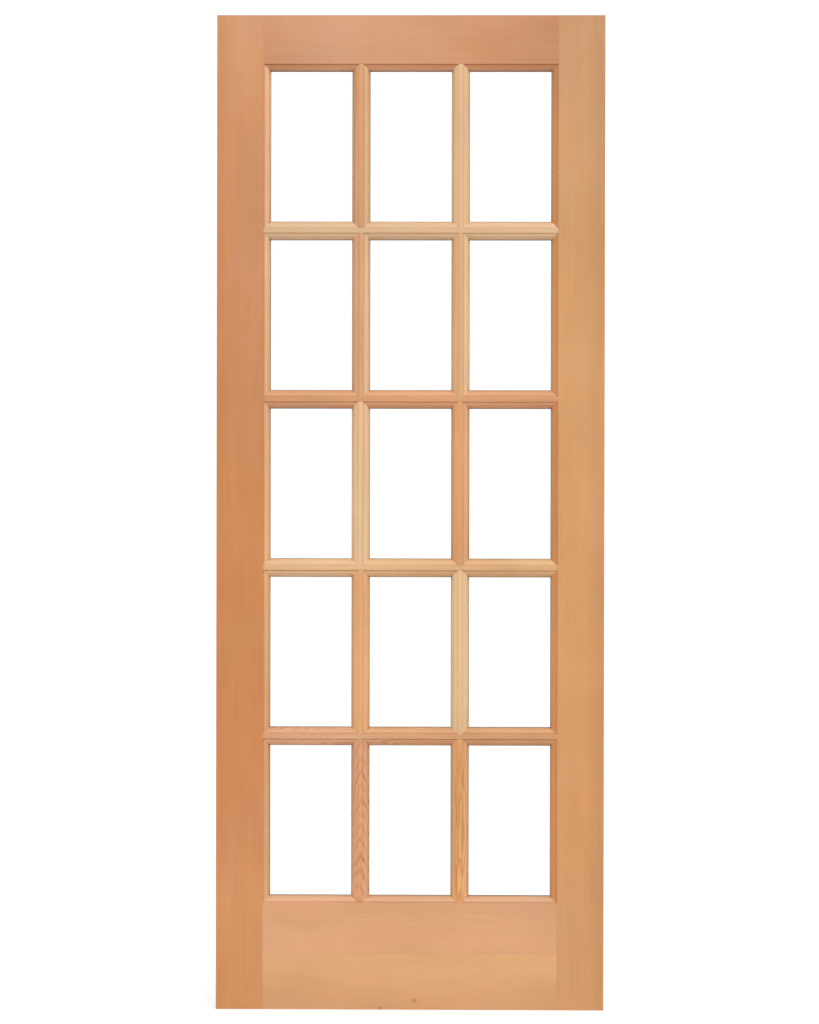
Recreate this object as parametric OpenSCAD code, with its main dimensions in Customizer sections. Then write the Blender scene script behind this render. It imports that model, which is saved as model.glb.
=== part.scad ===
// Fifteen-light French door leaf in vertical-grain fir.
// Stiles and rails are doweled together, and bars divide the field into separate panes.
// Every pane sits between a moulding worked on the frame (front) and four mitred beads (back).
// Frame: origin at the middle of the bottom edge, +Z up, front face towards -Y. Millimetres.

/* [Leaf] */
// Width over both stiles
door_w = 793; // [650:1:1000]
// Height over both rails
door_h = 2032; // [1600:1:2500]
// Thickness, face to face
door_t = 44.5; // [37:0.5:60]
// Rounding of the four long outer corners
corner_r = 1.5; // [0.5:0.5:4]

/* [Stiles and rails] */
// Flat width of each stile, up to its moulding
stile_face_w = 95.5; // [80:0.5:140]
// Flat height of the top rail, down to its moulding
top_rail_face_w = 99.5; // [80:0.5:160]
// Flat height of the bottom rail, up to its moulding
bottom_rail_face_w = 218.5; // [150:0.5:320]

/* [Bars] */
// Panes across
columns = 3; // [2:1:3]
// Panes up
rows = 5; // [3:1:5]
// Flat width of the short vertical bars, between their mouldings
v_bar_face_w = 8.5; // [7.5:0.5:20]
// Flat width of the through horizontal bars, between their mouldings
h_bar_face_w = 9.5; // [7.5:0.5:20]

/* [Moulding] */
// Width of the moulding, from the square edge to the glass line
mould_w = 13.5; // [11:0.5:16.5]
// Depth of the square step where the face ends
quirk = 1.6; // [0.8:0.1:2.2]
// Flat shoulder between the quarter round and the glass line
shoulder = 1.5; // [0.5:0.1:2.5]
// Softening of the face's square edge
arris_r = 0.4; // [0.2:0.1:0.7]
// Clearance between a coped end and the moulding that it fits over
cope_gap = 0.05; // [0.03:0.01:0.1]

/* [Glazing] */
// Thickness of the glass
glass_t = 3.2; // [2.5:0.1:5]
// Gap between the glass edge and the wood beside it
glass_gap = 3.5; // [2:0.5:5]
// Thickness of the glazing tape on each side of the glass
tape_t = 1; // [0.5:0.1:1.5]
// How far the tape shows past the glass line
tape_show = 0.8; // [0:0.1:2]

/* [Beads and brads] */
// How far each bead's mitred end stays back from the corner
mitre_gap = 0.1; // [0.05:0.05:0.3]
// Radius of a brad's shank
brad_r = 0.6; // [0.4:0.1:1]
// Radius of a brad's head
brad_head_r = 1; // [0.8:0.1:1.6]
// Thickness of a brad's head
brad_head_t = 0.4; // [0.3:0.1:0.8]
// How far a brad goes into the wood behind its bead
brad_grip = 3.5; // [2:0.5:4.5]
// Distance from the glass line's corner to the nearest brad
brad_end = 38; // [25:1:60]
// Shift of a bead's brads along it, so that brads in one bar pass each other
brad_stagger = 4; // [2:0.5:8]
// Clearance around a brad in its hole
brad_gap = 0.05; // [0.02:0.01:0.1]

/* [Dowels] */
// Radius of the dowels between stile and rail
dowel_r = 8; // [5:0.5:10]
// Length of the dowels between stile and rail
dowel_l = 120; // [80:1:150]
// Spacing of those dowels up the joint
dowel_pitch = 56; // [40:1:70]
// Radius of the dowels that pin the bars
bar_dowel_r = 4; // [2.5:0.5:5]
// Depth of a bar dowel in each piece that it pins
bar_dowel_grip = 25; // [15:1:40]
// Clearance around a dowel in its hole
dowel_gap = 0.1; // [0.05:0.05:0.2]
// Room for glue past each end of a dowel
glue_room = 1.5; // [0.5:0.5:3]

/* [Hidden] */
$fn = 64;
OVER = 1; // how far a cutter runs past what it cuts
LAST_ROW = rows;
LAST_BAR = rows - 1;
SIDES = ["left", "right", "bottom", "top"];

half_w = door_w / 2;
half_t = door_t / 2;
stile_edge_x = half_w - stile_face_w;            // the stiles' square edges
top_edge_z = door_h - top_rail_face_w;           // the top rail's square edge
bottom_edge_z = bottom_rail_face_w;              // the bottom rail's square edge
pitch_x = (2 * stile_edge_x + v_bar_face_w) / columns;
pitch_z = (top_edge_z - bottom_edge_z + h_bar_face_w) / rows;
light_w = pitch_x - v_bar_face_w - 2 * mould_w;  // one light, inside its glass lines
light_h = pitch_z - h_bar_face_w - 2 * mould_w;
glass_w = light_w + 2 * (mould_w - glass_gap);
glass_h = light_h + 2 * (mould_w - glass_gap);
ovolo_r = mould_w - shoulder;                    // quarter round of the moulding
seat_v = half_t - glass_t / 2 - tape_t;          // depth of the moulding, from either face
brad_v = quirk + ovolo_r * 0.7;                  // a brad's depth from the back face
brad_u = sqrt(pow(ovolo_r, 2) - pow(quirk + ovolo_r - brad_v, 2)); // head, on the round
bar_dowel_y = (quirk + seat_v) / 2 - half_t;     // bar dowels run mid-depth in the moulding
joint_dowel_l = mould_w + 2 * bar_dowel_grip;    // dowel of a bar that meets a stile or rail
top_dowel_count = floor((top_rail_face_w - 3 * dowel_r) / dowel_pitch) + 1;
bottom_dowel_count = floor((bottom_rail_face_w - 6 * dowel_r) / dowel_pitch) + 1;

function light_x(c) = (c - (columns + 1) / 2) * pitch_x;
function light_z(r) = top_edge_z + h_bar_face_w / 2 - (r - 0.5) * pitch_z;
function v_bar_x(c) = light_x(c) + pitch_x / 2;
function h_bar_z(r) = light_z(r) - pitch_z / 2;
function is_upright(side) = side == "left" || side == "right";

// Fir tones, chosen board by board
RED_FIR = "#D2935F";
GOLD_FIR = "#D9A06B";
PALE_FIR = "#E0B48A";
BEECH = "#D8BE94";

// ---- Sections: u runs across (0 at the square edge), v is the depth from a face ----

// Moulding: a square step, a quarter round and a small shoulder at the glass line;
// grow widens it, for the cutter of a coped end
module mould_section(grow = 0) {
    difference() {
        translate([-OVER, quirk - grow])
            square([mould_w + grow + OVER, seat_v - quirk + 2 * grow]);
        difference() {
            translate([0, quirk - OVER])
                square([mould_w + grow + OVER, ovolo_r + OVER]);
            translate([0, quirk + ovolo_r])
                circle(r = ovolo_r + grow);
        }
    }
}

// Cutter that rounds off a corner which points to +u and -v, with the corner at the origin
module corner_cutter(r) {
    difference() {
        translate([-r, -OVER])
            square(r + OVER);
        translate([-r, r])
            circle(r = r);
    }
}

// Board with a moulding along one edge; outer_r rounds the corners of its other edge
module board_section(face_w, outer_r = 0, grow = 0) {
    difference() {
        square([face_w, door_t]);
        translate([face_w, 0])
            corner_cutter(arris_r);
        translate([face_w, door_t])
            mirror([0, 1])
                corner_cutter(arris_r);
        if (outer_r > 0) {
            mirror([1, 0])
                corner_cutter(outer_r);
            translate([0, door_t])
                rotate(180)
                    corner_cutter(outer_r);
        }
    }
    translate([face_w, 0])
        mould_section(grow);
}

// Bar with a moulding on both edges and a rib that runs through to the back
module bar_section(face_w, grow = 0) {
    difference() {
        translate([-face_w / 2, 0])
            square([face_w, door_t]);
        for (side = [0, 1], back = [0, 1])
            mirror([side, 0])
                translate([face_w / 2, back * door_t])
                    mirror([0, back])
                        corner_cutter(arris_r);
    }
    for (side = [0, 1])
        mirror([side, 0])
            translate([face_w / 2, 0])
                mould_section(grow);
}

// ---- Placing ----

// Stands a section up along Z: u becomes X, and v becomes Y from the front face
module upright(z0, z1) {
    translate([0, -half_t, z0])
        linear_extrude(height = z1 - z0)
            children();
}

// Lays a section along X between the stiles: u becomes Z, and v becomes Y from the front face
module between_stiles() {
    translate([-stile_edge_x, -half_t, 0])
        rotate([90, 0, 90])
            linear_extrude(height = 2 * stile_edge_x)
                mirror([1, -1])
                    children();
}

// Puts its children at one side of a light: +X from the wood beside it towards the light,
// +Y from the front face to the back, +Z along the side, with the origin at mid length
module at_side(r, c, side) {
    turn = side == "left" ? 0 : side == "right" ? 180 : side == "bottom" ? -90 : 90;
    reach = mould_w + (is_upright(side) ? light_w : light_h) / 2;
    translate([light_x(c), 0, light_z(r)])
        rotate([0, turn, 0])
            translate([-reach, -half_t, 0])
                children();
}

// ---- Dowels: hole = 1 gives the holes that they sit in ----

module dowel_x(p, r, l, hole) {
    translate(p)
        rotate([0, 90, 0])
            cylinder(h = l + hole * 2 * glue_room, r = r + hole * dowel_gap, center = true);
}

module dowel_z(p, r, l, hole) {
    translate(p)
        cylinder(h = l + hole * 2 * glue_room, r = r + hole * dowel_gap, center = true);
}

module rail_dowel_set(z_mid, count, hole) {
    for (side = [-1, 1], i = [0:count - 1])
        dowel_x([side * stile_edge_x, 0, z_mid + (i - (count - 1) / 2) * dowel_pitch],
                dowel_r, dowel_l, hole);
}

module top_dowel_set(hole = 0) {
    rail_dowel_set((top_edge_z + door_h) / 2, top_dowel_count, hole);
}

module bottom_dowel_set(hole = 0) {
    rail_dowel_set(bottom_edge_z / 2, bottom_dowel_count, hole);
}

// One dowel at each end of a horizontal bar
module bar_end_dowel_pair(r, hole = 0) {
    for (side = [-1, 1])
        dowel_x([side * (stile_edge_x - mould_w / 2), bar_dowel_y, h_bar_z(r)],
                bar_dowel_r, joint_dowel_l, hole);
}

// The dowel above row r and right of column c: through a crossing, or into a rail
module crossing_dowel(c, r, hole = 0) {
    top = r == 1;
    bottom = r == LAST_ROW + 1;
    z = top ? top_edge_z - mould_w / 2
      : bottom ? bottom_edge_z + mould_w / 2
      : h_bar_z(r - 1);
    through_l = h_bar_face_w + mould_w + joint_dowel_l;
    dowel_z([v_bar_x(c), bar_dowel_y, z], bar_dowel_r,
            top || bottom ? joint_dowel_l : through_l, hole);
}

// ---- Brads ----

// A brad with its head at the origin, driven towards +Z; drill gives the hole that it sits in
module brad(drill) {
    gap = drill ? brad_gap : 0;
    cylinder(h = brad_u + brad_grip + gap, r = brad_r + gap);
    translate([0, 0, drill ? -brad_head_r : 0])
        cylinder(h = brad_head_t + (drill ? brad_head_r : 0), r = brad_head_r + gap);
}

// The brads of one bead, driven across it into the wood beside it
module brad_line(r, c, side, drill = false) {
    run = is_upright(side) ? light_h : light_w;
    end = run / 2 - brad_end;
    spots = run > 6 * brad_end ? [-end, 0, end] : [-end, end];
    at_side(r, c, side)
        for (s = spots)
            translate([brad_u, door_t - brad_v, s + brad_stagger / 2])
                rotate([0, -90, 0])
                    brad(drill);
}

// ---- Frame ----

// Left stile before drilling; grow = cope_gap makes this and the next ones cope cutters
module stile_stock(grow = 0) {
    translate([-half_w, 0, 0])
        upright(0, door_h)
            board_section(stile_face_w, corner_r, grow);
}

module bottom_rail_stock(grow = 0) {
    between_stiles()
        board_section(bottom_rail_face_w, 0, grow);
}

module top_rail_stock(grow = 0) {
    translate([0, 0, door_h])
        mirror([0, 0, 1])
            between_stiles()
                board_section(top_rail_face_w, 0, grow);
}

module horizontal_bar_stock(r, grow = 0) {
    translate([0, 0, h_bar_z(r)])
        between_stiles()
            bar_section(h_bar_face_w, grow);
}

// Copes the ends of a rail or bar over both stiles
module stile_copes() {
    stile_stock(cope_gap);
    mirror([1, 0, 0])
        stile_stock(cope_gap);
}

// What every stile is drilled for
module stile_holes() {
    top_dowel_set(1);
    bottom_dowel_set(1);
    for (r = [1:LAST_BAR])
        bar_end_dowel_pair(r, 1);
}

module left_stile() {
    color(RED_FIR)
        difference() {
            stile_stock();
            stile_holes();
            for (r = [1:rows])
                brad_line(r, 1, "left", true);
        }
}

module right_stile() {
    color(GOLD_FIR)
        difference() {
            mirror([1, 0, 0])
                stile_stock();
            stile_holes();
            for (r = [1:rows])
                brad_line(r, columns, "right", true);
        }
}

module top_rail() {
    color(RED_FIR)
        difference() {
            top_rail_stock();
            stile_copes();
            top_dowel_set(1);
            for (c = [1:columns - 1])
                crossing_dowel(c, 1, 1);
            for (c = [1:columns])
                brad_line(1, c, "top", true);
        }
}

module bottom_rail() {
    color(GOLD_FIR)
        difference() {
            bottom_rail_stock();
            stile_copes();
            bottom_dowel_set(1);
            for (c = [1:columns - 1])
                crossing_dowel(c, LAST_ROW + 1, 1);
            for (c = [1:columns])
                brad_line(LAST_ROW, c, "bottom", true);
        }
}

// Through bar below row r, coped over both stiles
module horizontal_bar(r) {
    color(r % 2 == 1 ? PALE_FIR : RED_FIR)
        difference() {
            horizontal_bar_stock(r);
            stile_copes();
            bar_end_dowel_pair(r, 1);
            for (c = [1:columns - 1])
                crossing_dowel(c, r + 1, 1);
            for (c = [1:columns]) {
                brad_line(r, c, "bottom", true);
                brad_line(r + 1, c, "top", true);
            }
        }
}

// Short bar right of column c in row r, coped over the rail or bar at each end
module vertical_bar(c, r) {
    reach = light_h / 2 + mould_w;
    color((c + r) % 2 == 0 ? GOLD_FIR : PALE_FIR)
        difference() {
            translate([v_bar_x(c), 0, 0])
                upright(light_z(r) - reach, light_z(r) + reach)
                    bar_section(v_bar_face_w);
            if (r == 1)
                top_rail_stock(cope_gap);
            else
                horizontal_bar_stock(r - 1, cope_gap);
            if (r == LAST_ROW)
                bottom_rail_stock(cope_gap);
            else
                horizontal_bar_stock(r, cope_gap);
            crossing_dowel(c, r, 1);
            crossing_dowel(c, r + 1, 1);
            brad_line(r, c, "right", true);
            brad_line(r, c + 1, "left", true);
        }
}

// ---- Glazing ----

module glass_pane(r, c) {
    color("#DCEBE4", 0.4)
        translate([light_x(c), 0, light_z(r)])
            cube([glass_w, glass_t, glass_h], center = true);
}

// Front and back rings of tape, between the glass and the wood on each side of it
module glazing_tape(r, c) {
    for (face = [-1, 1])
        translate([light_x(c), face * (glass_t + tape_t) / 2, light_z(r)])
            difference() {
                cube([glass_w, tape_t, glass_h], center = true);
                cube([light_w - 2 * tape_show, tape_t + OVER, light_h - 2 * tape_show],
                     center = true);
            }
}

module glazing_tape_row(r) {
    color("#4A4038")
        for (c = [1:columns])
            glazing_tape(r, c);
}

// A bead has the moulding's own section, one step below the back face, and mitred ends
module bead(r, c, side) {
    outer = mould_w + (is_upright(side) ? light_h : light_w) / 2 - mitre_gap;
    at_side(r, c, side)
        intersection() {
            translate([0, door_t, -outer])
                linear_extrude(height = 2 * outer)
                    mirror([0, 1])
                        mould_section();
            rotate([-90, 0, 0])
                linear_extrude(height = door_t)
                    polygon([[0, -outer], [mould_w, mould_w - outer],
                             [mould_w, outer - mould_w], [0, outer]]);
        }
}

module glazing_beads(r, c) {
    color(GOLD_FIR)
        for (side = SIDES)
            difference() {
                bead(r, c, side);
                brad_line(r, c, side, true);
            }
}

// ---- Fastenings ----

module top_rail_dowels() {
    color(BEECH)
        top_dowel_set();
}

module bottom_rail_dowels() {
    color(BEECH)
        bottom_dowel_set();
}

module bar_end_dowels() {
    color(BEECH)
        for (r = [1:LAST_BAR])
            bar_end_dowel_pair(r);
}

module crossing_dowels() {
    color(BEECH)
        for (c = [1:columns - 1], r = [1:LAST_ROW + 1])
            crossing_dowel(c, r);
}

module bead_brads() {
    color("#8C8C88")
        for (r = [1:rows], c = [1:columns], side = SIDES)
            brad_line(r, c, side);
}

left_stile();
right_stile();
top_rail();
bottom_rail();
for (r = [1:LAST_BAR])
    horizontal_bar(r);
for (c = [1:columns - 1], r = [1:rows])
    vertical_bar(c, r);
for (r = [1:rows], c = [1:columns]) {
    glass_pane(r, c);
    glazing_beads(r, c);
}
for (r = [1:rows])
    glazing_tape_row(r);
top_rail_dowels();
bottom_rail_dowels();
bar_end_dowels();
crossing_dowels();
bead_brads();
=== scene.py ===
"""Looks of a fifteen-light fir French door leaf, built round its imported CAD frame."""

import math

import bmesh
import bpy
from mathutils import Matrix, Vector


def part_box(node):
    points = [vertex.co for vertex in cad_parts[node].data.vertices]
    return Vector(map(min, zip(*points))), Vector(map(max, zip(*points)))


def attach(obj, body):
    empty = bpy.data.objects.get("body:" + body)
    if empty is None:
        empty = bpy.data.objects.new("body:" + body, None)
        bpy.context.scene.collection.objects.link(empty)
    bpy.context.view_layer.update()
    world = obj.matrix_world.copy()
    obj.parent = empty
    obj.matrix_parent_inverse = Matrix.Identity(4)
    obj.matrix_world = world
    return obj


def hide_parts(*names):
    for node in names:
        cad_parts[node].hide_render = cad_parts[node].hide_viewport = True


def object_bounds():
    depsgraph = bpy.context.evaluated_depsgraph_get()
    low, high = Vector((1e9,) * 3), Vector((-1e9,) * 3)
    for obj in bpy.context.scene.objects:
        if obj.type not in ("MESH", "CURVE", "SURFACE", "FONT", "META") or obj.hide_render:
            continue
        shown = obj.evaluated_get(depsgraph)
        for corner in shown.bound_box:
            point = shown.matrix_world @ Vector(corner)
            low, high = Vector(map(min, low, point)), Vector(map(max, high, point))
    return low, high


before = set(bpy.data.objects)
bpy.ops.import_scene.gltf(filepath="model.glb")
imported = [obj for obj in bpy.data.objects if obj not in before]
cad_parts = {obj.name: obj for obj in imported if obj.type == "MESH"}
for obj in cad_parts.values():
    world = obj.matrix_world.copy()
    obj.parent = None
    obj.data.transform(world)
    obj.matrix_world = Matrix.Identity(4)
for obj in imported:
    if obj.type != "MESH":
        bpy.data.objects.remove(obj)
cad_lo, cad_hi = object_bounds()

MM = 0.001

# ---- Sizes that the CAD part is driven by ----
QUIRK = 1.6 * MM        # square step where the face ends
MOULD_W = 13.5 * MM     # moulding, from the square edge to the glass line
SHOULDER = 1.5 * MM     # flat between the quarter round and the glass line
OVOLO_R = MOULD_W - SHOULDER
GLASS_T = 3.2 * MM
TAPE_T = 1.0 * MM
COPE_GAP = 0.05 * MM
MITRE_GAP = 0.1 * MM
ARRIS_R = 0.4 * MM      # softened square edge of the face
CORNER_R = 1.5 * MM     # rounded long outer corners of the stiles
EASE_R = 0.25 * MM      # sanded edge at a cut end
SHOULDER_R = 0.35 * MM  # softened edge at the glass line
BEAD_LEAST = 0.1 * MM   # width that a bead keeps where its moulding starts

HALF_T = cad_hi.y
DOOR_T = 2 * HALF_T
SEAT_V = HALF_T - GLASS_T / 2 - TAPE_T

COLUMNS, ROWS = 3, 5
STILE_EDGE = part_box("right_stile")[0].x + MOULD_W
ROUND_STEPS = 14        # steps of the moulding's quarter round
EDGE_STEPS = 4          # steps of a softened edge
WELD = 1e-7             # corners nearer than this are one
SHARP_ANGLE = math.radians(28)


# ---- Depth levels: every piece is a stack of rectangles, from the front face (v = 0) back ----

def arc(radius, steps):
    """Pairs (depth below the face, inset from the side) that round off an edge."""
    out = []
    for i in range(steps + 1):
        t = math.pi / 2 * i / steps
        out.append((radius * (1 - math.cos(t)), radius * (1 - math.sin(t))))
    return out


def inset(depth, radius):
    """How far an edge rounded with radius stands back from its side at a depth."""
    if depth >= radius:
        return 0.0
    return radius - math.sqrt(max(0.0, radius**2 - (radius - depth) ** 2))


def round_reach():
    """Pairs (v, reach) down the quarter round, over the shoulder and its softened edge."""
    out = []
    for i in range(ROUND_STEPS + 1):
        t = math.pi / 2 * i / ROUND_STEPS
        out.append((QUIRK + OVOLO_R * (1 - math.cos(t)), OVOLO_R * math.sin(t)))
    base = QUIRK + OVOLO_R
    for depth, back in arc(SHOULDER_R, EDGE_STEPS):
        out.append((base + depth, MOULD_W - back))
    return out


def frame_levels():
    """(v, moulding reach, corner inset, ease inset) of every level of a frame piece."""
    near = sorted({round(d, 9) for r in (ARRIS_R, CORNER_R, EASE_R) for d, _ in arc(r, EDGE_STEPS)})
    front = [(d, -inset(d, ARRIS_R), inset(d, CORNER_R), inset(d, EASE_R)) for d in near]
    out = list(front)
    out += [(v, reach, 0.0, 0.0) for v, reach in round_reach()]
    out += [(SEAT_V, MOULD_W, 0.0, 0.0), (SEAT_V, 0.0, 0.0, 0.0)]
    out += [(DOOR_T - d, reach, corner, ease) for d, reach, corner, ease in reversed(front)]
    return out


LEVELS = frame_levels()


def finish_mesh(name, verts, faces):
    """A mesh object with clean outward normals and smooth arcs between sharp edges."""
    mesh = bpy.data.meshes.new(name)
    mesh.from_pydata(verts, [], faces)
    bm = bmesh.new()
    bm.from_mesh(mesh)
    bmesh.ops.remove_doubles(bm, verts=bm.verts, dist=WELD)
    bmesh.ops.dissolve_degenerate(bm, edges=bm.edges, dist=0.1 * WELD)
    bmesh.ops.recalc_face_normals(bm, faces=bm.faces)
    bm.to_mesh(mesh)
    bm.free()
    mesh.shade_smooth()
    mesh.set_sharp_from_angle(angle=SHARP_ANGLE)
    piece = bpy.data.objects.new(name, mesh)
    bpy.context.scene.collection.objects.link(piece)
    return piece


def stack(name, rings):
    """A closed piece from rings of four corners each, first to last."""
    verts = [p for ring in rings for p in ring]
    faces = [(3, 2, 1, 0)]
    for k in range(len(rings) - 1):
        a, b = 4 * k, 4 * k + 4
        for i in range(4):
            j = (i + 1) % 4
            faces.append((a + i, a + j, b + j, b + i))
    last = 4 * (len(rings) - 1)
    faces.append((last, last + 1, last + 2, last + 3))
    return finish_mesh(name, verts, faces)


def side_shift(kind, level):
    """How far a side lies outside its edge line at a level, by the kind of side."""
    _, reach, corner, ease = level
    if kind == "mould":
        return reach
    if kind == "cope":
        return -(reach + COPE_GAP) if reach > 0 else -ease
    if kind == "round":
        return -corner
    return -ease


def frame_piece(name, x0, x1, z0, z1, left, right, bottom, top):
    """A stile, rail or bar between its square edges, with a kind of side on each of them."""
    rings = []
    for level in LEVELS:
        xa = x0 - side_shift(left, level)
        xb = x1 + side_shift(right, level)
        za = z0 - side_shift(bottom, level)
        zb = z1 + side_shift(top, level)
        y = level[0] - HALF_T
        rings.append([(xa, y, za), (xb, y, za), (xb, y, zb), (xa, y, zb)])
    return stack(name, rings)


def bead(name, side, x, z, half_w, half_h):
    """A mitred back bead along one side of the light at (x, z)."""
    upright = side in ("left", "right")
    sign = 1 if side in ("left", "bottom") else -1
    wall = -sign * ((half_w if upright else half_h) + MOULD_W)
    run = (half_h if upright else half_w) + MOULD_W - MITRE_GAP
    rings = []
    shape = [(v, max(reach, BEAD_LEAST)) for v, reach in round_reach()] + [(SEAT_V, MOULD_W)]
    for v, reach in shape:
        near, far = wall, wall + sign * reach
        quad = [(near, -run), (near, run), (far, run - reach), (far, reach - run)]
        y = HALF_T - v
        if upright:
            rings.append([(x + u, y, z + s) for u, s in quad])
        else:
            rings.append([(x + s, y, z + u) for u, s in quad])
    return stack(name, rings)


# ---- Materials ----

LATEWOOD = (0.62, 0.42, 0.28)    # multiplier of the dark part of a growth ring
REDDISH = (0.93, 0.8, 0.66)      # multiplier of reddish streaks
KNOT = (0.6, 0.42, 0.3)          # multiplier of a pin knot


def linear(rgb):
    """sRGB colour, 0 to 255 a channel, as linear RGBA."""
    out = []
    for c in rgb:
        c /= 255
        out.append(c / 12.92 if c <= 0.04045 else ((c + 0.055) / 1.055) ** 2.4)
    return (*out, 1.0)


class Nodes:
    """Short calls for building a node tree."""

    def __init__(self, tree):
        self.tree = tree

    def add(self, kind, **values):
        node = self.tree.nodes.new(kind)
        for key, value in values.items():
            setattr(node, key, value)
        return node

    def link(self, source, target):
        if isinstance(source, (int, float, tuple)):
            target.default_value = source
        else:
            self.tree.links.new(source, target)

    def math(self, op, a, b=None, c=None):
        node = self.add("ShaderNodeMath", operation=op)
        for i, value in enumerate((a, b, c)):
            if value is not None:
                self.link(value, node.inputs[i])
        return node.outputs[0]

    def combine(self, x, y, z):
        node = self.add("ShaderNodeCombineXYZ")
        for i, value in enumerate((x, y, z)):
            self.link(value, node.inputs[i])
        return node.outputs[0]

    def noise(self, vector, scale=1.0, detail=2.0, rough=0.5):
        node = self.add("ShaderNodeTexNoise")
        self.link(vector, node.inputs["Vector"])
        node.inputs["Scale"].default_value = scale
        node.inputs["Detail"].default_value = detail
        node.inputs["Roughness"].default_value = rough
        return node.outputs["Fac"]

    def ramp(self, value, lo, hi, out_lo=0.0, out_hi=1.0):
        node = self.add("ShaderNodeMapRange", interpolation_type="SMOOTHSTEP")
        for i, v in enumerate((value, lo, hi, out_lo, out_hi)):
            self.link(v, node.inputs[i])
        return node.outputs[0]

    def mix(self, factor, a, b, blend="MIX"):
        node = self.add("ShaderNodeMix", data_type="RGBA", blend_type=blend)
        self.link(factor, node.inputs["Factor"])
        self.link(a, node.inputs[6])
        self.link(b, node.inputs[7])
        return node.outputs[2]

    def tint(self, factor, color, change):
        """The colour, multiplied by change as far as factor says."""
        return self.mix(factor, color, self.mix(1.0, color, (*change, 1.0), "MULTIPLY"))


def fir_group():
    """Growth rings, blotches, bands, flecks and end grain of a board, from places in metres."""
    group = bpy.data.node_groups.new("fir_grain", "ShaderNodeTree")
    face = group.interface
    for name in ("Along", "Across", "Depth", "End", "Seed", "Pith", "Pith depth", "Ring", "Figure",
                 "Slope", "Lines", "Bands", "Streaks"):
        face.new_socket(name, in_out="INPUT", socket_type="NodeSocketFloat")
    face.new_socket("Tone", in_out="INPUT", socket_type="NodeSocketColor")
    face.new_socket("Shift", in_out="INPUT", socket_type="NodeSocketColor")
    face.new_socket("Color", in_out="OUTPUT", socket_type="NodeSocketColor")
    face.new_socket("Roughness", in_out="OUTPUT", socket_type="NodeSocketFloat")
    face.new_socket("Height", in_out="OUTPUT", socket_type="NodeSocketFloat")
    n = Nodes(group)
    given = n.add("NodeGroupInput").outputs
    along, across, depth, end = (given[k] for k in ("Along", "Across", "Depth", "End"))
    seed, figure, tone = given["Seed"], given["Figure"], given["Tone"]

    def field(along_scale, across_scale, shift, detail=2.0, rough=0.5):
        """Noise that is stretched along the grain; its scales are in cycles a metre."""
        a = n.math("MULTIPLY_ADD", along, along_scale, n.math("ADD", seed, shift))
        t = n.math("MULTIPLY_ADD", across, across_scale, n.math("MULTIPLY", seed, 3.7))
        r = n.math("MULTIPLY_ADD", depth, across_scale, shift)
        return n.noise(n.combine(a, t, r), 1.0, detail, rough)

    # Rings: distance from the pith, with a slow wander and a slope along the board
    wander = n.math("MULTIPLY", n.math("SUBTRACT", field(2.6, 9.0, 11.0, 3.0), 0.5), figure)
    dt = n.math("SUBTRACT", across, given["Pith"])
    dr = n.math("SUBTRACT", depth, given["Pith depth"])
    dist = n.math("SQRT", n.math("ADD", n.math("MULTIPLY", dt, dt), n.math("MULTIPLY", dr, dr)))
    dist = n.math("MULTIPLY_ADD", wander, 0.03, dist)
    dist = n.math("MULTIPLY_ADD", along, given["Slope"], dist)
    phase = n.math("FRACT", n.math("DIVIDE", dist, given["Ring"]))
    rise = n.ramp(phase, 0.3, 0.9)
    fall = n.ramp(phase, 0.93, 1.0, 1.0, 0.0)
    late = n.math("MULTIPLY", rise, fall)
    year = n.noise(n.combine(n.math("DIVIDE", dist, 0.009), seed, 0.0), 1.0, 2.0)
    patch = n.ramp(field(2.2, 16.0, 83.0, 2.0), 0.38, 0.62, 0.35, 1.0)
    late = n.math("MULTIPLY", late, n.math("MULTIPLY", patch, n.ramp(year, 0.3, 0.7, 0.35, 1.0)))

    # Soft blotches, bands along the grain, fine fibre, flecks and resin ducts
    blotch = n.ramp(field(7.0, 12.0, 3.0, 3.0, 0.6), 0.36, 0.64)
    cloud = field(3.5, 8.0, 13.0, 3.0, 0.55)
    band = n.ramp(field(2.6, 46.0, 23.0, 3.0, 0.6), 0.36, 0.64)
    streak = n.ramp(field(2.4, 170.0, 31.0, 2.0, 0.6), 0.42, 0.66)
    fine = field(6.0, 300.0, 41.0, 3.0, 0.6)
    fleck = n.ramp(field(42.0, 380.0, 57.0, 1.0), 0.68, 0.8)
    duct = n.ramp(field(90.0, 1300.0, 71.0, 0.0), 0.74, 0.82)

    other = n.mix(1.0, tone, given["Shift"], "MULTIPLY")
    dark = n.mix(1.0, tone, (*LATEWOOD, 1.0), "MULTIPLY")
    red = n.mix(1.0, tone, (*REDDISH, 1.0), "MULTIPLY")
    color = n.mix(n.math("MULTIPLY", blotch, 0.9), tone, other)
    color = n.mix(n.math("MULTIPLY", band, given["Bands"]), color, other)
    color = n.mix(n.math("MULTIPLY", streak, given["Streaks"]), color, red)
    color = n.mix(n.math("MULTIPLY", late, given["Lines"]), color, dark)
    bright = n.math("MULTIPLY_ADD", n.math("SUBTRACT", fine, 0.5), 0.16, 1.0)
    bright = n.math("MULTIPLY_ADD", n.math("SUBTRACT", cloud, 0.5), 0.36, bright)
    color = n.mix(1.0, color, n.combine(bright, bright, bright), "MULTIPLY")
    color = n.mix(n.math("MULTIPLY", fleck, 0.16), color, dark)
    color = n.mix(n.math("MULTIPLY", duct, 0.35), color, dark)
    color = n.mix(n.math("MULTIPLY", end, 0.4), color, dark)

    out = n.add("NodeGroupOutput")
    n.link(color, out.inputs["Color"])
    rough = n.math("MULTIPLY_ADD", late, -0.06, 0.5)
    rough = n.math("MULTIPLY_ADD", end, 0.2, rough)
    n.link(n.math("MULTIPLY_ADD", fine, 0.1, rough), out.inputs["Roughness"])
    height = n.math("MULTIPLY_ADD", late, 0.5, n.math("MULTIPLY", fine, 0.6))
    n.link(n.math("MULTIPLY_ADD", duct, -0.8, height), out.inputs["Height"])
    return group


FIR = fir_group()


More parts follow.
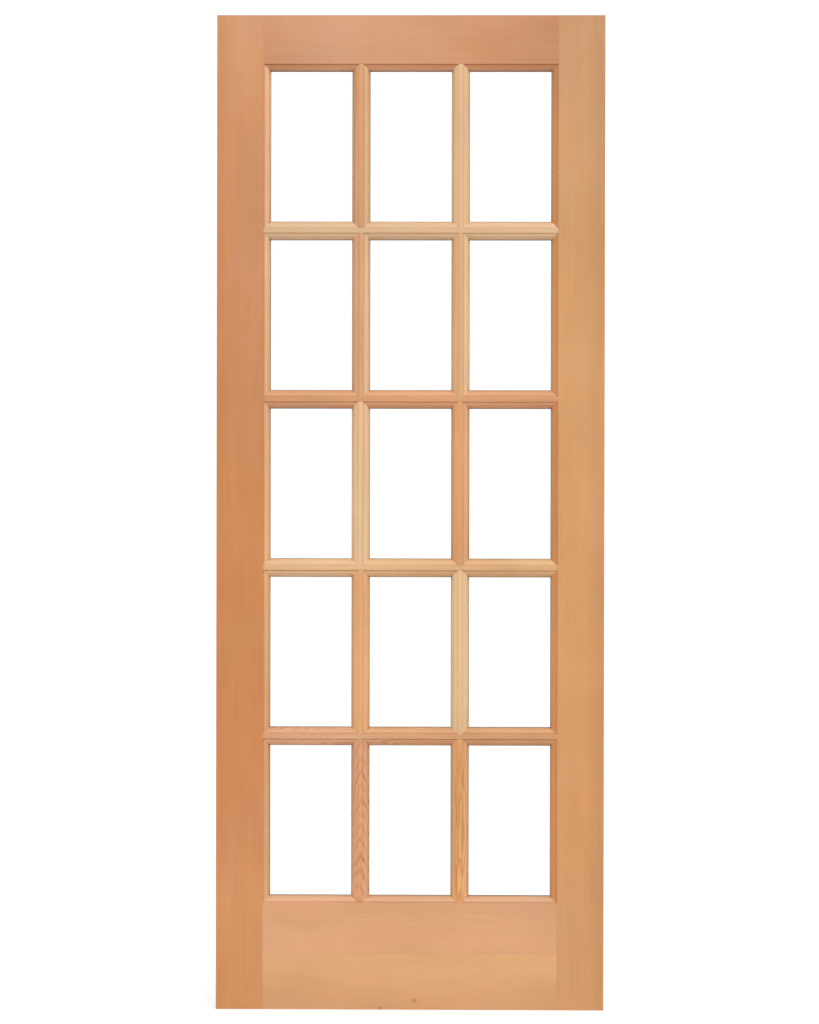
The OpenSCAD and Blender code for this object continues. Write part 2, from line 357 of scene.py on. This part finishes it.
def tone_along(n, position, stops):
    """A colour that drifts along a board through stops of (place, sRGB colour)."""
    first, last = stops[0][0], stops[-1][0]
    span = n.add("ShaderNodeMapRange")
    for i, v in enumerate((position, first, last, 0.0, 1.0)):
        n.link(v, span.inputs[i])
    node = n.add("ShaderNodeValToRGB")
    ramp = node.color_ramp
    ramp.interpolation = "LINEAR"
    while len(ramp.elements) < len(stops):
        ramp.elements.new(0.5)
    # All places before any colour, because a stop that moves may swap with its neighbour
    for element, (place, _) in zip(ramp.elements, stops):
        element.position = (place - first) / (last - first)
    for element, (_, color) in zip(ramp.elements, stops):
        element.color = linear(color)
    n.link(span.outputs[0], node.inputs[0])
    return node.outputs[0]


def fir(name, tone, shift, upright, seed, pith, pith_depth=0.08, ring=1.7 * MM, figure=1.0,
        slope=0.0, lines=0.16, bands=0.2, streaks=0.12, rims=(), joint=None, knots=(),
        groove=(0.95, 0.89, 0.84), under=None):
    """Fir for one board.

    tone: sRGB colour, or stops of (place along the board, colour).
    shift: what the tone is multiplied by in its blotches and bands.
    upright: the grain runs up the leaf, not across it.
    seed: shifts the whole figure.
    pith, pith_depth: the rings' centre, across the board and into it.
    ring: width of a growth ring.
    figure, slope: how far the rings wander, and how much they lean along the board.
    lines, bands, streaks: strength of the rings, of bands along the grain and of red streaks.
    rims: (from, to, multiplier) of tones that set in across the board, and where given
        the two places along it between which they rise.
    joint: (place across the board, multiplier on the near side), a glue line.
    knots: (along, across, radius) of pin knots.
    groove: multiplier of the painted shade in the foot of the quirk, where the quirk's step shades
    the moulding.
    under: the painted quirk shade shows only below this place across the board, on its down-facing
    side.
    """
    mat = bpy.data.materials.new(name)
    mat.use_nodes = True
    tree = mat.node_tree
    tree.nodes.clear()
    n = Nodes(tree)
    coord = n.add("ShaderNodeTexCoord")
    split = n.add("ShaderNodeSeparateXYZ")
    n.link(coord.outputs["Object"], split.inputs[0])
    facing = n.add("ShaderNodeSeparateXYZ")
    n.link(coord.outputs["Normal"], facing.inputs[0])
    grain = n.add("ShaderNodeGroup", node_tree=FIR)
    run, cross = (2, 0) if upright else (0, 2)
    along, across = split.outputs[run], split.outputs[cross]
    n.link(along, grain.inputs["Along"])
    n.link(across, grain.inputs["Across"])
    n.link(split.outputs[1], grain.inputs["Depth"])
    cut = n.math("ABSOLUTE", facing.outputs[run])
    n.link(n.ramp(cut, 0.8, 0.95), grain.inputs["End"])
    for key, value in (("Seed", seed), ("Pith", pith), ("Pith depth", pith_depth), ("Ring", ring),
                       ("Figure", figure), ("Slope", slope), ("Lines", lines), ("Bands", bands),
                       ("Streaks", streaks)):
        grain.inputs[key].default_value = value
    grain.inputs["Shift"].default_value = (*shift, 1.0)
    if isinstance(tone[0], tuple):
        base = tone_along(n, along, tone)
    else:
        base = linear(tone)
    for start, stop, change, *rise in rims:
        share = n.ramp(across, start, stop)
        if rise:
            share = n.math("MULTIPLY", share, n.ramp(along, *rise))
        base = n.tint(share, base, change)
    if joint:
        place, change = joint
        below = n.math("LESS_THAN", across, place)
        base = n.tint(below, base, change)
        n.link(n.math("MULTIPLY_ADD", below, 5.3, seed), grain.inputs["Seed"])
    for place, height, radius in knots:
        off = n.combine(n.math("SUBTRACT", along, place), n.math("SUBTRACT", across, height), 0.0)
        away = n.add("ShaderNodeVectorMath", operation="LENGTH")
        n.link(off, away.inputs[0])
        spot = n.ramp(away.outputs["Value"], 0.3 * radius, radius, 0.55, 0.0)
        base = n.tint(spot, base, KNOT)
    # Painted shade in the foot of the quirk, where its step shades the moulding; end faces are left
    # out.
    sunk = n.math("SUBTRACT", HALF_T, n.math("ABSOLUTE", split.outputs[1]))
    quirk_shade_mask = n.math("MULTIPLY", n.ramp(sunk, 0.5 * QUIRK, 0.9 * QUIRK),
                  n.ramp(sunk, QUIRK + 0.05 * MM, QUIRK + 0.5 * MM, 1.0, 0.0))
    quirk_shade_mask = n.math("MULTIPLY", quirk_shade_mask, n.ramp(cut, 0.3, 0.5, 1.0, 0.0))
    if under is not None:
        quirk_shade_mask = n.math("MULTIPLY", quirk_shade_mask, n.math("LESS_THAN", across, under))
    base = n.tint(quirk_shade_mask, base, groove)
    n.link(base, grain.inputs["Tone"])
    bump = n.add("ShaderNodeBump")
    bump.inputs["Strength"].default_value = 0.25
    bump.inputs["Distance"].default_value = 0.12 * MM
    n.link(grain.outputs["Height"], bump.inputs["Height"])
    shader = n.add("ShaderNodeBsdfPrincipled")
    shader.inputs["Specular IOR Level"].default_value = 0.5
    n.link(grain.outputs["Color"], shader.inputs["Base Color"])
    n.link(grain.outputs["Roughness"], shader.inputs["Roughness"])
    n.link(bump.outputs[0], shader.inputs["Normal"])
    out = n.add("ShaderNodeOutputMaterial")
    n.link(shader.outputs[0], out.inputs[0])
    return mat


def plain(name, color, second, scale, roughness, metallic=0.0, specular=0.4):
    """A material with a soft speckle of a second colour, and roughness that follows it."""
    mat = bpy.data.materials.new(name)
    mat.use_nodes = True
    tree = mat.node_tree
    tree.nodes.clear()
    n = Nodes(tree)
    coord = n.add("ShaderNodeTexCoord")
    spot = n.noise(coord.outputs["Object"], scale, 3.0, 0.6)
    shader = n.add("ShaderNodeBsdfPrincipled")
    shader.inputs["Metallic"].default_value = metallic
    shader.inputs["Specular IOR Level"].default_value = specular
    speckle = n.mix(n.ramp(spot, 0.35, 0.65), linear(color), linear(second))
    n.link(speckle, shader.inputs["Base Color"])
    n.link(n.math("MULTIPLY_ADD", spot, 0.2, roughness - 0.1), shader.inputs["Roughness"])
    bump = n.add("ShaderNodeBump")
    bump.inputs["Strength"].default_value = 0.2
    bump.inputs["Distance"].default_value = 0.1 * MM
    n.link(spot, bump.inputs["Height"])
    n.link(bump.outputs[0], shader.inputs["Normal"])
    out = n.add("ShaderNodeOutputMaterial")
    n.link(shader.outputs[0], out.inputs[0])
    return mat


def glass():
    """Clear float glass with the faintest haze from handling."""
    mat = bpy.data.materials.new("clear_float_glass")
    mat.use_nodes = True
    tree = mat.node_tree
    tree.nodes.clear()
    n = Nodes(tree)
    coord = n.add("ShaderNodeTexCoord")
    haze = n.noise(coord.outputs["Object"], 6.0, 3.0, 0.6)
    shader = n.add("ShaderNodeBsdfPrincipled")
    shader.inputs["Base Color"].default_value = linear((248, 252, 250))
    shader.inputs["Transmission Weight"].default_value = 1.0
    shader.inputs["IOR"].default_value = 1.5
    n.link(n.ramp(haze, 0.5, 0.8, 0.0, 0.015), shader.inputs["Roughness"])
    out = n.add("ShaderNodeOutputMaterial")
    n.link(shader.outputs[0], out.inputs[0])
    return mat


def wear(piece, material):
    """Gives a new piece its material, and rides it on the leaf."""
    piece.data.materials.clear()
    piece.data.materials.append(material)
    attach(piece, "root")


# ---- Boards ----

GOLDEN = (1.02, 0.95, 0.84)      # multiplier of a more yellow wood
SAPWOOD = (1.08, 1.22, 1.3)      # multiplier of pale outer wood

# Tones of the stiles and rails, as stops of (place along the board, sRGB colour)
STILE_L = ((0.05, (201, 141, 90)), (0.22, (218, 153, 104)), (0.45, (214, 143, 91)),
           (0.76, (218, 147, 92)), (1.0, (212, 143, 89)), (1.45, (206, 143, 100)),
           (1.85, (211, 148, 105)), (2.02, (208, 151, 110)))
STILE_R = ((0.05, (208, 153, 103)), (0.45, (227, 165, 110)), (0.95, (219, 162, 109)),
           (1.33, (221, 165, 112)), (1.65, (211, 159, 109)), (1.95, (203, 152, 109)))
RAIL_T = ((-0.28, (208, 150, 110)), (-0.13, (214, 161, 124)), (0.02, (215, 157, 116)),
          (0.12, (216, 155, 112)), (0.27, (202, 143, 100)))
RAIL_B = (223, 166, 123)
BEAD_TONES = ((220, 168, 120), (214, 160, 118), (226, 186, 145))

GLUE_LINE = 0.113                # height of the bottom rail's glue joint

# Bars: slot, tone, shift, and what else fir() gets. From the bar's middle, "pale" is where the
# sapwood sets in and "behind" is where the pith lies.
BARS = {
    "horizontal_bar_1": ("fir_pale", (225, 189, 152), (1.0, 0.95, 0.86),
                         {"bands": 0.5, "streaks": 0.3}),
    "horizontal_bar_2": ("fir_red", (219, 157, 115), (1.05, 1.12, 1.06),
                         {"bands": 0.6, "figure": 2.0, "lines": 0.3}),
    "horizontal_bar_3": ("fir_pale", ((-0.2, (233, 192, 149)), (0.3, (231, 187, 137))),
                         (0.97, 0.9, 0.8),
                         {"bands": 0.5, "figure": 2.4, "lines": 0.35, "pith_depth": 0.05,
                          "slope": 0.02}),
    "horizontal_bar_4": ("fir_red", ((-0.2, (233, 184, 143)), (0.3, (221, 169, 120))),
                         (0.98, 0.9, 0.84),
                         {"bands": 0.5, "figure": 3.0, "lines": 0.7, "ring": 3.6 * MM,
                          "pith_depth": 0.04, "slope": 0.05}),
    "vertical_bar_1_1": ("fir_gold", (215, 159, 113), (1.06, 1.14, 1.16),
                         {"bands": 0.7, "lines": 0.4, "pale": (0.004, 0.009)}),
    "vertical_bar_1_2": ("fir_red", (223, 168, 126), (1.05, 1.14, 1.14),
                         {"bands": 0.7, "lines": 0.4, "pale": (0.003, 0.008)}),
    "vertical_bar_1_3": ("fir_pale", (239, 198, 157), (1.0, 1.06, 1.04), {"bands": 0.4}),
    "vertical_bar_1_4": ("fir_gold", (238, 184, 133), (0.99, 0.94, 0.86),
                         {"bands": 0.6, "lines": 0.3}),
    "vertical_bar_1_5": ("fir_red", (230, 174, 131), (0.98, 0.95, 0.92),
                         {"ring": 5.2 * MM, "slope": -0.18, "lines": 1.0, "pith_depth": 0.04,
                          "figure": 1.4, "bands": 0.4, "behind": -0.004}),
    "vertical_bar_2_1": ("fir_pale", (234, 193, 149), (1.0, 0.97, 0.92),
                         {"bands": 0.2, "lines": 0.1, "streaks": 0.25}),
    "vertical_bar_2_2": ("fir_gold", (225, 176, 132), (1.05, 1.12, 1.08),
                         {"bands": 0.7, "lines": 0.3, "pale": (0.006, 0.01)}),
    "vertical_bar_2_3": ("fir_red", (229, 170, 120), (1.04, 1.08, 1.06),
                         {"bands": 0.7, "lines": 0.35}),
    "vertical_bar_2_4": ("fir_pale", (240, 202, 156), (0.98, 0.98, 0.92),
                         {"bands": 0.3, "lines": 0.1, "streaks": 0.25}),
    "vertical_bar_2_5": ("fir_red", (235, 175, 118), (1.0, 1.04, 1.0),
                         {"ring": 3.0 * MM, "slope": 0.01, "lines": 0.7, "figure": 1.2,
                          "pith_depth": 0.05, "bands": 0.6, "behind": 0.0}),
}


def put(node, slot, tone, shift, box, sides, upright, seed, pith, **more):
    """A stile, rail or bar in place of its CAD node; box is (x0, x1, z0, z1)."""
    piece = frame_piece(node + "_fir", *box, *sides)
    wear(piece, fir(node + "_fir", tone, shift, upright, seed, pith, **more))
    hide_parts(node)


def make_stiles():
    """The two stiles: the left one's moulding paler, partly sapwood and partly painted sheen; the
    right one's darker by the quirk, partly dark figure and partly painted shade.
    """
    top, outer = cad_hi.z, cad_hi.x
    put("left_stile", "fir_stile_left", STILE_L, (1.01, 0.94, 0.8),
        (-outer, -STILE_EDGE, 0, top), ("round", "mould", "cut", "cut"), True, 4.1, -0.62,
        lines=0.04, bands=0.3, groove=(1.0, 0.97, 0.92),
        rims=((-outer + 0.03, -outer + 0.008, (1.0, 0.95, 0.86)),
              # Paler moulding, more so higher up: partly sapwood, partly a painted sheen on a
              # moulding that faces the light.
              (-STILE_EDGE, -STILE_EDGE + 0.004, (1.055, 1.27, 1.55)),
              (-STILE_EDGE, -STILE_EDGE + 0.004, (1.2, 1.31, 1.32), 0.37, 1.06)))
    put("right_stile", "fir_stile_right", STILE_R, (1.01, 0.95, 0.84),
        (STILE_EDGE, outer, 0, top), ("mould", "round", "cut", "cut"), True, 9.3, 0.66,
        lines=0.04, bands=0.3, groove=(0.97, 0.94, 0.9),
        rims=((outer - 0.045, outer - 0.005, (0.91, 0.89, 0.88)),
              # Darker, redder moulding by the quirk, easing off near the glass: partly dark figure,
              # partly painted shade on a moulding that faces away from the light.
              (STILE_EDGE + 0.001, STILE_EDGE - 0.001, (0.88, 0.73, 0.58)),
              (STILE_EDGE - 0.005, STILE_EDGE - 0.009, (1.1, 1.25, 1.45))))


def make_rails():
    """The top rail, and the bottom rail with its glue line and two pin knots."""
    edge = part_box("top_rail")[0].z + MOULD_W
    put("top_rail", "fir_top_rail", RAIL_T, (0.98, 0.93, 0.88),
        (-STILE_EDGE, STILE_EDGE, edge, cad_hi.z), ("cope", "cope", "mould", "cut"), False,
        17.2, 2.4, lines=0.12, bands=0.4, groove=(0.88, 0.8, 0.72),
        # Darker, redder moulding below the quirk, easing off near the glass: partly the board's own
        # figure, partly painted shadow under the quirk step on this down-facing moulding.
        rims=((edge + 0.0005, edge - 0.0005, (0.87, 0.76, 0.63)),
              (edge - 0.0045, edge - 0.0085, (1.17, 1.34, 1.62))))
    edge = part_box("bottom_rail")[1].z - MOULD_W
    put("bottom_rail", "fir_bottom_rail", RAIL_B, (0.99, 0.96, 0.9),
        (-STILE_EDGE, STILE_EDGE, 0, edge), ("cope", "cope", "cut", "mould"), False,
        25.8, -0.4, lines=0.06, bands=0.25, groove=(0.97, 0.93, 0.9),
        # Darker towards the floor below the glue line: painted shade near the floor. Paler, less
        # yellow up-facing moulding: painted sheen.
        rims=((GLUE_LINE, 0.0, (0.85, 0.81, 0.79)), (edge, edge + 0.004, (1.0, 1.1, 1.22))),
        joint=(GLUE_LINE, (1.005, 1.06, 0.97)),
        knots=((0.01, 0.019, 0.007), (-0.06, 0.002, 0.006)))


def make_bars():
    """The horizontal and vertical bars."""
    for node, (slot, tone, shift, more) in BARS.items():
        lo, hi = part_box(node)
        upright = node.startswith("vertical")
        more = {"streaks": 0.6, **more}
        if upright:
            middle = (lo.x + hi.x) / 2
            box = (lo.x + MOULD_W, hi.x - MOULD_W, lo.z, hi.z)
            sides = ("mould", "mould", "cope", "cope")
        else:
            middle = (lo.z + hi.z) / 2
            box = (-STILE_EDGE, STILE_EDGE, lo.z + MOULD_W, hi.z - MOULD_W)
            sides = ("cope", "cope", "mould", "mould")
            # Painted shadow of the quirk step, stronger, and only on the down-facing side of a
            # horizontal bar.
            more.update(groove=(0.88, 0.79, 0.7), under=middle)
        pith = middle + more.pop("behind", 0.3)
        if "pale" in more:
            start, stop = more.pop("pale")
            more["rims"] = ((middle + start, middle + stop, SAPWOOD),)
        seed = 31.0 + sum(map(ord, node)) % 97 * 2.3
        put(node, slot, tone, shift, box, sides, upright, seed, pith, **more)


def make_beads():
    """Four mitred beads behind each pane."""
    stock = {
        (i, upright): fir(f"bead_fir_{i}_{'up' if upright else 'across'}", tone, GOLDEN,
                          upright, 60.0 + 7.0 * i, 0.9, bands=0.5, lines=0.3)
        for i, tone in enumerate(BEAD_TONES) for upright in (True, False)
    }
    for row in range(1, ROWS + 1):
        for column in range(1, COLUMNS + 1):
            node = f"glazing_beads_{row}_{column}"
            lo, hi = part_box(node)
            half_w = (hi.x - lo.x) / 2 - MOULD_W
            half_h = (hi.z - lo.z) / 2 - MOULD_W
            for i, side in enumerate(("left", "right", "bottom", "top")):
                piece = bead(f"bead_{row}_{column}_{side}", side, (lo.x + hi.x) / 2,
                             (lo.z + hi.z) / 2, half_w, half_h)
                tone = (row + 2 * column + i) % len(BEAD_TONES)
                wear(piece, stock[tone, i < 2])
                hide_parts(node)


def dress_cad():
    """Materials for the CAD nodes that stay."""
    looks = {
        "glass": glass(),
        "glazing": plain("glazing_tape", (92, 76, 64), (74, 62, 54), 900.0, 0.75,
                         specular=0.25),
        "dowels": plain("beech_dowel", (214, 184, 140), (198, 164, 120), 300.0, 0.7),
        "brads": plain("brad_steel", (150, 148, 144), (120, 118, 114), 1500.0, 0.42,
                       metallic=1.0),
    }
    for name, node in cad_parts.items():
        for key, mat in looks.items():
            if name.startswith(key) or name.endswith(key):
                for spot in node.material_slots:
                    spot.material = mat
                if not node.material_slots:
                    node.data.materials.append(mat)


# ---- Stage ----

FLOOR_R = 1.3
FLOOR_STEPS = 96

AMBIENT = 0.885                # the surroundings as light
LEAN = (-0.15, 0.4, -0.33)     # they are brighter behind the leaf and below it,
POLES = 0.5                    # and towards the zenith and the floor
WHITE = 1.12                   # the surroundings as they are seen
KEY_POWER = 763.0
PANEL_POWER = 220.0

CAMERA_PLACE = (0.159, -9.0, 1.091)
CAMERA_YAW, CAMERA_PITCH, CAMERA_ROLL = map(math.radians, (-1.025, -0.468, 0.1065))
CAMERA_LENS = 154.51


def make_floor():
    """A pale round floor under the leaf that fades out into the white surroundings."""
    rim = []
    for i in range(FLOOR_STEPS):
        turn = math.tau * i / FLOOR_STEPS
        rim.append((FLOOR_R * math.cos(turn), FLOOR_R * math.sin(turn), 0.0))
    mesh = bpy.data.meshes.new("floor")
    mesh.from_pydata(rim, [], [tuple(range(FLOOR_STEPS))])
    floor = bpy.data.objects.new("floor", mesh)
    floor.location.z = -0.5 * MM
    bpy.context.scene.collection.objects.link(floor)
    mat = bpy.data.materials.new("floor")
    mat.use_nodes = True
    tree = mat.node_tree
    tree.nodes.clear()
    n = Nodes(tree)
    coord = n.add("ShaderNodeTexCoord")
    away = n.add("ShaderNodeVectorMath", operation="LENGTH")
    n.link(coord.outputs["Object"], away.inputs[0])
    pale = n.add("ShaderNodeBsdfPrincipled")
    pale.inputs["Base Color"].default_value = (0.55, 0.55, 0.545, 1)
    pale.inputs["Roughness"].default_value = 0.9
    pale.inputs["Emission Color"].default_value = (1, 1, 1, 1)
    pale.inputs["Emission Strength"].default_value = 0.5
    clear = n.add("ShaderNodeBsdfTransparent")
    blend = n.add("ShaderNodeMixShader")
    n.link(n.ramp(away.outputs["Value"], 0.3, 0.95 * FLOOR_R), blend.inputs[0])
    n.link(pale.outputs[0], blend.inputs[1])
    n.link(clear.outputs[0], blend.inputs[2])
    out = n.add("ShaderNodeOutputMaterial")
    n.link(blend.outputs[0], out.inputs[0])
    mesh.materials.append(mat)


def make_world():
    """White surroundings: full white where seen directly or through glass, softer as light."""
    world = bpy.data.worlds.new("studio")
    bpy.context.scene.world = world
    world.use_nodes = True
    tree = world.node_tree
    tree.nodes.clear()
    n = Nodes(tree)
    coord = n.add("ShaderNodeTexCoord")

    def background(color, strength):
        node = n.add("ShaderNodeBackground")
        node.inputs["Color"].default_value = (*color, 1)
        n.link(strength, node.inputs["Strength"])
        return node.outputs[0]

    path = n.add("ShaderNodeLightPath").outputs
    toward = n.add("ShaderNodeVectorMath", operation="DOT_PRODUCT")
    n.link(coord.outputs["Generated"], toward.inputs[0])
    toward.inputs[1].default_value = LEAN
    split = n.add("ShaderNodeSeparateXYZ")
    n.link(coord.outputs["Generated"], split.inputs[0])
    poles = n.math("MULTIPLY", split.outputs["Z"], split.outputs["Z"])
    poles = n.math("MULTIPLY_ADD", poles, 1.5 * POLES, 1.0 - 0.5 * POLES)
    level = n.math("MULTIPLY", n.math("ADD", toward.outputs["Value"], poles), AMBIENT)
    seen = n.math("MAXIMUM", path["Is Camera Ray"], path["Is Transmission Ray"])
    blend = n.add("ShaderNodeMixShader")
    n.link(seen, blend.inputs[0])
    n.link(background((0.985, 0.99, 1.0), level), blend.inputs[1])
    n.link(background((1.0, 1.0, 1.0), WHITE), blend.inputs[2])
    out = n.add("ShaderNodeOutputWorld")
    n.link(blend.outputs[0], out.inputs[0])


def area_light(name, place, target, size, power, color=(1, 1, 1)):
    """A soft square light that looks at target."""
    data = bpy.data.lights.new(name, "AREA")
    data.shape = "SQUARE"
    data.size = size
    data.energy = power
    data.color = color
    light = bpy.data.objects.new(name, data)
    light.location = place
    aim = Vector(target) - Vector(place)
    light.rotation_euler = aim.to_track_quat("-Z", "Y").to_euler()
    bpy.context.scene.collection.objects.link(light)
    return light


def make_lights():
    """A key, high and far in front, and a white panel on the right that only gives a sheen."""
    middle = (cad_lo + cad_hi) / 2
    area_light("key", (1.8, -8.2, 9.6), middle, 1.4, KEY_POWER, (1.0, 0.985, 0.96))
    panel = area_light("panel", (5.0, -0.6, 1.2), middle, 4.0, PANEL_POWER)
    panel.visible_diffuse = False


def make_camera():
    """A long lens far in front of the leaf, turned and rolled by a small angle."""
    data = bpy.data.cameras.new("camera")
    data.sensor_width = 36.0
    data.lens = CAMERA_LENS
    data.clip_end = 100.0
    camera = bpy.data.objects.new("camera", data)
    camera.location = CAMERA_PLACE
    camera.rotation_mode = "XYZ"
    ahead = Vector((math.sin(CAMERA_YAW) * math.cos(CAMERA_PITCH),
                    math.cos(CAMERA_YAW) * math.cos(CAMERA_PITCH), math.sin(CAMERA_PITCH)))
    aim = ahead.to_track_quat("-Z", "Y").to_matrix()
    camera.rotation_euler = (aim @ Matrix.Rotation(CAMERA_ROLL, 3, "Z")).to_euler()
    bpy.context.scene.collection.objects.link(camera)
    bpy.context.scene.camera = camera


make_stiles()
make_rails()
make_bars()
make_beads()
dress_cad()
make_floor()
make_world()
make_lights()
make_camera()
bpy.context.scene.view_settings.view_transform = "Standard"
